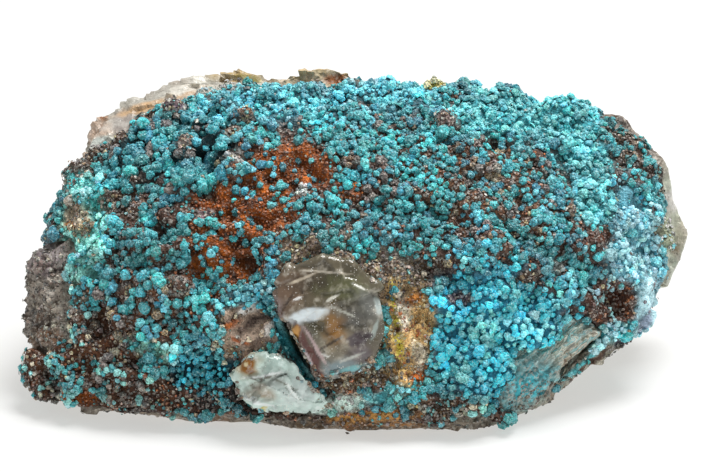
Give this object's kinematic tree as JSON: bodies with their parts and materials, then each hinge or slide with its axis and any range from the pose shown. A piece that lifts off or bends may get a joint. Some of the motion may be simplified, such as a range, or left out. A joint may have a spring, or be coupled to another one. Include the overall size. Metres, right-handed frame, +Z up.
{
  "type": "chrysocolla on quartz specimen",
  "caption": "Hand-size mineral specimen: a botryoidal druse-coated chrysocolla crust over a broken quartz block, with a smoky and a white quartz crystal set in its display face",
  "frame": {"origin": "middle of the bounding box's underside, on the plane of the stone's flat base facet", "axes": "+Z up, +X along the specimen's length to the right of its display face, -Y out of the display face"},
  "size_m": [0.0804, 0.0486, 0.034],
  "materials": {
    "chrysocolla": "sparkling drusy teal crust",
    "matrix_quartz": "rough broken grey-brown quartz with iron stains",
    "smoky_quartz": "clear smoky quartz, broken faces",
    "white_quartz": "icy white quartz, conchoidal fracture"
  },
  "bodies": {
    "root": {"chrysocolla_crust": "chrysocolla", "quartz_matrix": "matrix_quartz", "smoky_quartz": "smoky_quartz", "white_quartz": "white_quartz"}
  },
  "joints": []
}
